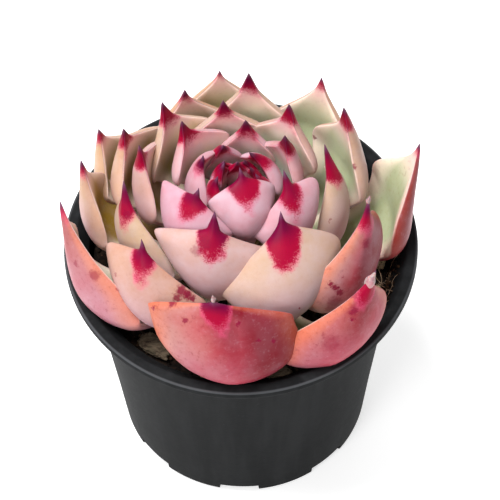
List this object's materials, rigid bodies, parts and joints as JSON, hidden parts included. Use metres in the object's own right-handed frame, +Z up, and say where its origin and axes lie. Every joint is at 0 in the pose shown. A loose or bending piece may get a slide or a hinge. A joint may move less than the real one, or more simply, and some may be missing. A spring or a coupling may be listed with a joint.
{
  "type": "potted blue dragon echeveria",
  "caption": "Rosette succulent with broad cupped leaves ending in slender crimson points, growing in a round dark plastic nursery pot filled with potting mix.",
  "frame": {"origin": "centre of the pot's flat underside", "axes": "+Z up along the pot's axis; the front of the plant, as pictured, faces -Y and +X is to its right"},
  "size_m": [0.1104, 0.11, 0.1273],
  "materials": {
    "pot_plastic": "satin",
    "potting_mix": "matte",
    "bark": "matte",
    "pumice": "matte",
    "stem": "matte",
    "outer_leaf": "satin",
    "second_leaf": "satin",
    "middle_leaf": "satin",
    "inner_leaf": "satin",
    "heart_leaf": "satin"
  },
  "bodies": {
    "root": {"pot": "pot_plastic", "soil": "potting_mix", "stem": "stem", "leaf_01": "outer_leaf", "leaf_02": "outer_leaf", "leaf_03": "outer_leaf", "leaf_04": "outer_leaf", "leaf_05": "outer_leaf", "leaf_06": "outer_leaf", "leaf_07": "outer_leaf", "leaf_08": "second_leaf", "leaf_09": "second_leaf", "leaf_10": "second_leaf", "leaf_11": "second_leaf", "leaf_12": "second_leaf", "leaf_13": "second_leaf", "leaf_14": "second_leaf", "leaf_15": "middle_leaf", "leaf_16": "middle_leaf", "leaf_17": "middle_leaf", "leaf_18": "middle_leaf", "leaf_19": "middle_leaf", "leaf_20": "middle_leaf", "leaf_21": "middle_leaf", "leaf_22": "inner_leaf", "leaf_23": "inner_leaf", "leaf_24": "inner_leaf", "leaf_25": "inner_leaf", "leaf_26": "inner_leaf", "leaf_27": "inner_leaf", "leaf_28": "heart_leaf", "leaf_29": "heart_leaf", "leaf_30": "heart_leaf", "leaf_31": "heart_leaf", "heart": "heart_leaf", "bark_chip_1": "bark", "bark_chip_2": "bark", "bark_chip_3": "bark", "pumice_1": "pumice", "pumice_2": "pumice", "pumice_3": "pumice"}
  },
  "joints": []
}
